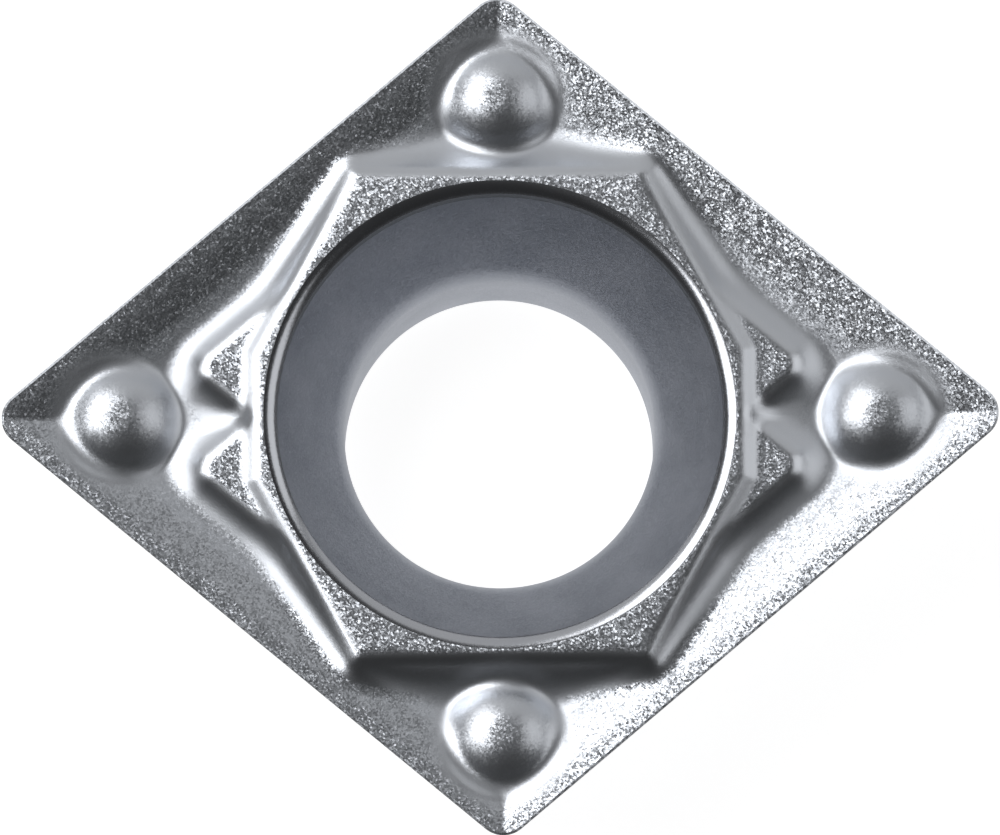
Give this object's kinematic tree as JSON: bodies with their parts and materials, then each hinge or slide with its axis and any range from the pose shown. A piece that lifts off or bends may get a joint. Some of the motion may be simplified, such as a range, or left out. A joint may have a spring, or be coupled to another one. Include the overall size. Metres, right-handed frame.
{
  "type": "turning insert",
  "caption": "Rhombic turning insert with leaning flanks, a pressed chip former round a raised collar, and a countersunk hole for a clamping screw.",
  "frame": {"origin": "centre of the screw hole on the flat seating face", "axes": "+Z along the screw hole from the seat to the chip former, +X along the long diagonal through the two sharp corners, +Y through the two blunt corners"},
  "size_m": [0.0144, 0.0122, 0.0041],
  "materials": {
    "cermet": "sintered cermet, fine grain, satin grey"
  },
  "bodies": {
    "root": {"insert": "cermet"}
  },
  "joints": []
}
